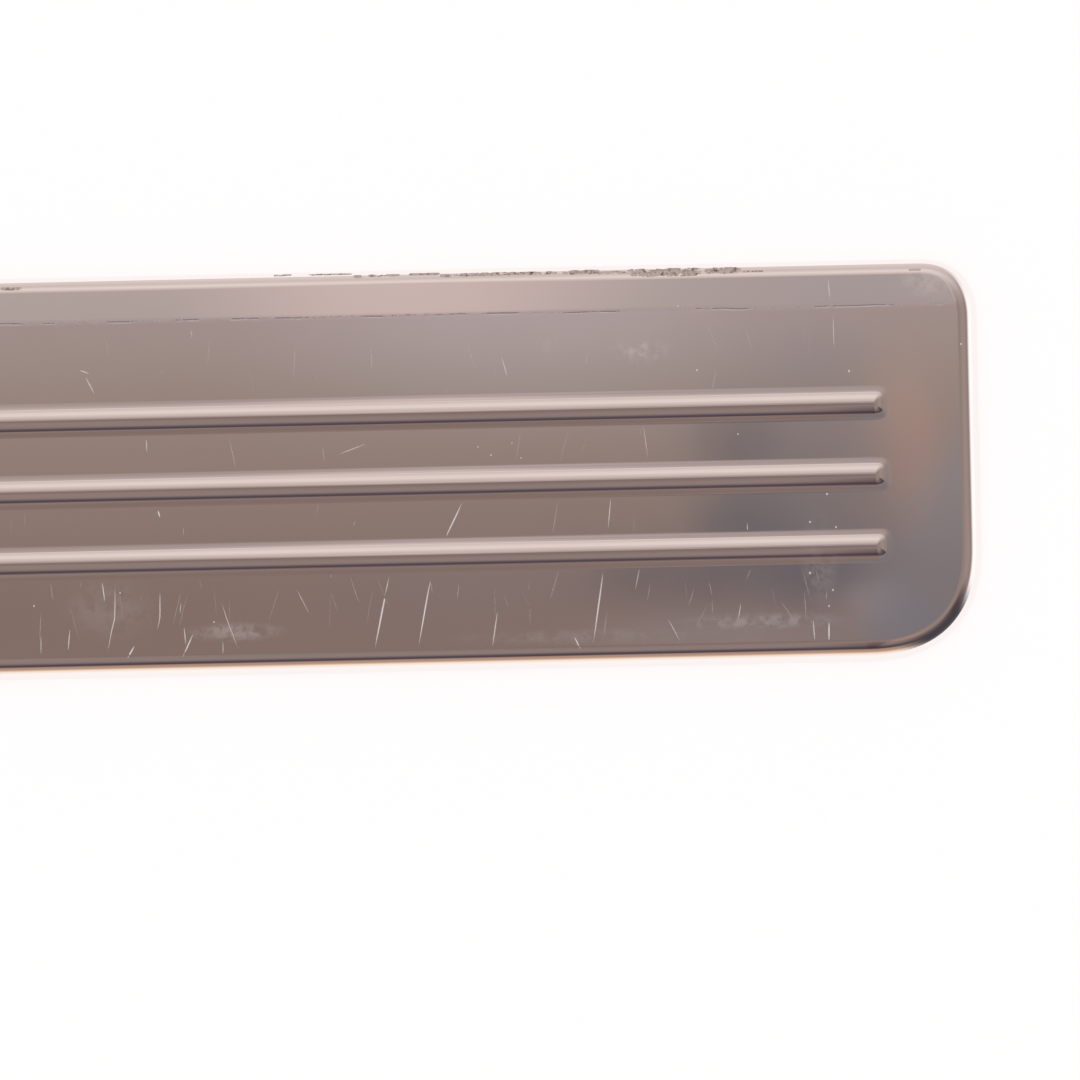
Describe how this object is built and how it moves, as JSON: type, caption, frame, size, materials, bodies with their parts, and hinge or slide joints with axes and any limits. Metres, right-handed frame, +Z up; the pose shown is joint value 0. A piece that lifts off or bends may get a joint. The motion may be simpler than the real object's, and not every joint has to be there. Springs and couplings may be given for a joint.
{
  "type": "car door sill plate",
  "caption": "Long shallow pressed stainless steel plate with raised beads, rolled rim and rounded corners, which covers and protects the painted sill in a car's door opening.",
  "frame": {"origin": "middle of the plate, on the plane that its rim stands on", "axes": "+X along the sill, +Y towards the inside of the car, +Z up out of the deck"},
  "size_m": [0.48, 0.0566, 0.004],
  "materials": {
    "stainless_sheet": "bright rolled stainless steel, scuffed",
    "foam_tape": "closed-cell foam"
  },
  "bodies": {
    "root": {"sill_plate": "stainless_sheet", "foam_tape_outboard": "foam_tape", "foam_tape_inboard": "foam_tape"}
  },
  "joints": []
}
